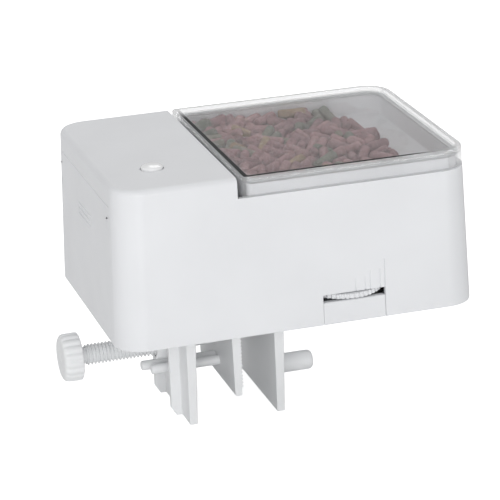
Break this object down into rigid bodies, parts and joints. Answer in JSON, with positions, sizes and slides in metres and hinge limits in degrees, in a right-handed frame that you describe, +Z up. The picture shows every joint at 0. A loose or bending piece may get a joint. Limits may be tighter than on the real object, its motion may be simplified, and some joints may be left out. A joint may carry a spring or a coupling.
{
  "type": "aquarium fish feeder",
  "caption": "Clamp-on automatic fish feeder: box housing with timer block, clear-lidded food bin, motor-driven drum, portion wheel and tank-rim screw clamp.",
  "frame": {"origin": "under the middle of the whole feeder, on the level of the clamp's feet", "axes": "+Z up, +X from the clamp knob and timer block towards the food bin, -Y towards the side with the portion wheel"},
  "size_m": [0.1378, 0.0924, 0.096],
  "materials": {
    "shell": "fine satin ABS",
    "clamp_plastic": "moulded ABS, lightly translucent white",
    "clear_lid": "clear, slightly hazy styrene",
    "seal": "soft translucent silicone",
    "food": "dry pressed food sticks",
    "board": "solder-masked board",
    "dark_plastic": "black moulded plastic",
    "cell": "printed sleeve without lettering",
    "steel": "zinc-plated steel",
    "brass": "machined",
    "nylon": "natural acetal"
  },
  "bodies": {
    "root": {"housing": "shell", "base_cover": "shell", "outlet_panel": "shell", "hopper_bin": "shell", "food_fill": "food", "circuit_board": "board", "tact_switch": "dark_plastic", "control_chip": "dark_plastic", "battery_holder": "dark_plastic", "battery_lower": "cell", "battery_upper": "cell", "contact_tab_back": "steel", "contact_tab_front": "steel", "contact_spring_front": "steel", "contact_spring_back": "steel", "gear_frame": "dark_plastic", "feed_motor": "steel", "idler_axle": "steel", "drum_housing": "shell", "outlet_chute": "shell", "base_screw_1": "steel", "base_screw_2": "steel", "base_screw_3": "steel", "base_screw_4": "steel", "board_screw_1": "steel", "board_screw_2": "steel", "board_screw_3": "steel", "frame_screw_1": "steel", "frame_screw_2": "steel", "frame_screw_3": "steel", "clamp_bracket": "clamp_plastic", "bracket_screw_1": "steel", "bracket_screw_2": "steel", "bracket_screw_3": "steel", "bracket_screw_4": "steel"},
    "lid": {"lid": "clear_lid", "lid_seal": "seal"},
    "button": {"button_cap": "shell"},
    "battery_door": {"battery_cover": "shell"},
    "portion_wheel": {"portion_wheel": "shell"},
    "drum": {"feed_drum": "nylon", "drum_gear": "nylon", "drive_shaft": "steel"},
    "idler": {"idler_gear": "nylon"},
    "motor_shaft": {"motor_pinion": "brass"},
    "jaw": {"clamp_jaw": "clamp_plastic"},
    "screw": {"clamp_screw": "clamp_plastic", "clamp_knob": "clamp_plastic"}
  },
  "joints": [
    {"name": "lid_lift", "type": "slide", "parent": "root", "child": "lid", "axis": [0, 0, 1], "range_m": [0, 0.03]},
    {"name": "button_press", "type": "slide", "parent": "root", "child": "button", "axis": [0, 0, -1], "range_m": [0, 0.0008], "stiffness_N_per_m": 400},
    {"name": "battery_door_slide", "type": "slide", "parent": "root", "child": "battery_door", "axis": [0, 0, -1], "range_m": [0, 0.007]},
    {"name": "portion_wheel_turn", "type": "hinge", "parent": "root", "child": "portion_wheel", "pos_m": [0.02435, -0.0326, 0.0485], "axis": [0, 0, 1], "range_deg": [-60, 60]},
    {"name": "drum_turn", "type": "hinge", "parent": "root", "child": "drum", "pos_m": [0.02435, -0.02245, 0.0586], "axis": [1, 0, 0], "continuous": true},
    {"name": "idler_turn", "type": "hinge", "parent": "root", "child": "idler", "pos_m": [-0.02095, -0.00645, 0.0586], "axis": [1, 0, 0], "continuous": true},
    {"name": "motor_turn", "type": "hinge", "parent": "root", "child": "motor_shaft", "pos_m": [-0.02095, 0.00487, 0.06991], "axis": [1, 0, 0], "continuous": true},
    {"name": "jaw_slide", "type": "slide", "parent": "root", "child": "jaw", "axis": [1, 0, 0], "range_m": [-0.012, 0.008]},
    {"name": "clamp_screw_turn", "type": "hinge", "parent": "jaw", "child": "screw", "pos_m": [-0.05695, 0.00085, 0.0228], "axis": [1, 0, 0], "range_deg": [-3405, 2270]}
  ],
  "couplings": [
    {"joint": "idler_turn", "follows": "motor_turn", "ratio": -0.33333},
    {"joint": "drum_turn", "follows": "motor_turn", "ratio": 0.11111},
    {"joint": "clamp_screw_turn", "follows": "jaw_slide", "rad_per_m": 4947.4}
  ]
}
